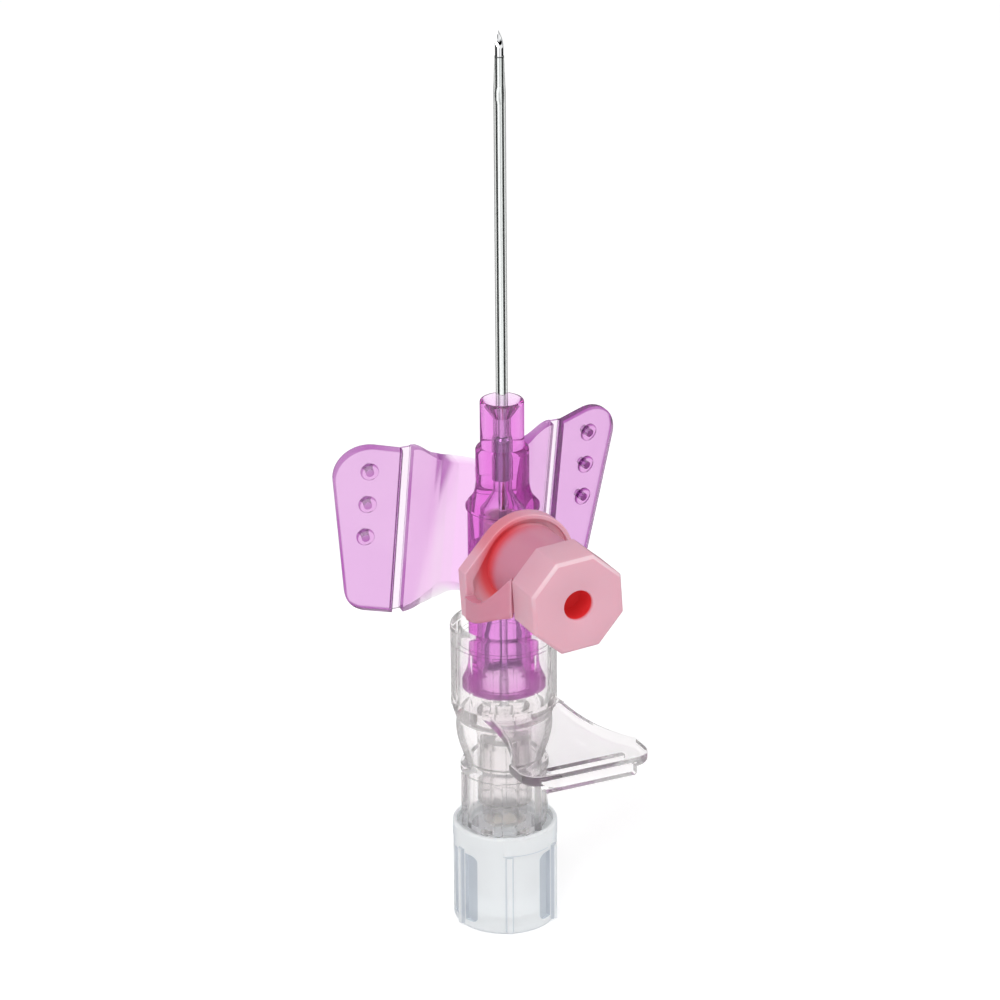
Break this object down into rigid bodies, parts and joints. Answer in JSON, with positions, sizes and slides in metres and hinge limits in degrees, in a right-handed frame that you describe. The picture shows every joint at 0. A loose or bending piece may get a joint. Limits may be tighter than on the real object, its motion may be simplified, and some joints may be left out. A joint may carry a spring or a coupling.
{
  "type": "intravenous cannula",
  "caption": "Winged intravenous cannula with a capped injection port, steel needle, inner safety clip, clear needle hub with grip plate and a frosted luer stopper.",
  "frame": {"origin": "centre of the stopper's flat base, on which the object stands", "axes": "+Z along the needle towards its point, -Y towards the injection port and the grip plate, +X towards the right wing as seen from the port"},
  "size_m": [0.0286, 0.0271, 0.087],
  "materials": {
    "frosted_plastic": "frosted clear plastic",
    "clear_plastic": "clear polished plastic",
    "membrane": "matt porous sheet",
    "steel": "polished stainless steel",
    "spring_steel": "rolled spring steel",
    "pink_translucent": "translucent tinted plastic",
    "clear_tube": "clear soft tube",
    "soft_valve": "soft silicone",
    "cap_pink": "opaque semi-gloss plastic"
  },
  "bodies": {
    "stopper": {"luer_stopper": "frosted_plastic"},
    "flash_plug": {"flash_plug": "clear_plastic", "vent_filter": "membrane"},
    "needle_assembly": {"needle_hub": "clear_plastic", "needle": "steel"},
    "safety_clip": {"safety_clip": "spring_steel"},
    "catheter": {"catheter_hub": "pink_translucent", "catheter_tube": "clear_tube", "catheter_ferrule": "steel", "port_valve": "soft_valve"},
    "cap_ring": {"port_cap_ring": "cap_pink", "port_cap_strap": "cap_pink"},
    "port_cap": {"port_cap_lid": "cap_pink"},
    "wing_left": {"wing_flap_left": "pink_translucent"},
    "wing_right": {"wing_flap_right": "pink_translucent"}
  },
  "joints": [
    {"name": "plug_off_stopper", "type": "slide", "parent": "stopper", "child": "flash_plug", "axis": [0, 0, 1], "range_m": [0, 0.008]},
    {"name": "hub_off_plug", "type": "slide", "parent": "flash_plug", "child": "needle_assembly", "axis": [0, 0, 1], "range_m": [0, 0.007]},
    {"name": "clip_along_needle", "type": "slide", "parent": "needle_assembly", "child": "safety_clip", "axis": [0, 0, 1], "range_m": [0, 0.054]},
    {"name": "catheter_off_clip", "type": "slide", "parent": "safety_clip", "child": "catheter", "axis": [0, 0, 1], "range_m": [0, 0.014]},
    {"name": "ring_swivel", "type": "hinge", "parent": "catheter", "child": "cap_ring", "pos_m": [0, -0.0045, 0.03808], "axis": [0, 1, 0], "range_deg": [-90, 90]},
    {"name": "lid_pull", "type": "slide", "parent": "cap_ring", "child": "port_cap", "axis": [0, -1, 0], "range_m": [0, 0.007]},
    {"name": "wing_left_fold", "type": "hinge", "parent": "catheter", "child": "wing_left", "pos_m": [-0.008, 0.0056, 0.04199], "axis": [0, 0.1822, -0.9833], "range_deg": [-45, 30], "stiffness_Nm_per_rad": 0.0001},
    {"name": "wing_right_fold", "type": "hinge", "parent": "catheter", "child": "wing_right", "pos_m": [0.008, 0.0056, 0.04199], "axis": [0, -0.1822, 0.9833], "range_deg": [-45, 30], "stiffness_Nm_per_rad": 0.0001}
  ]
}
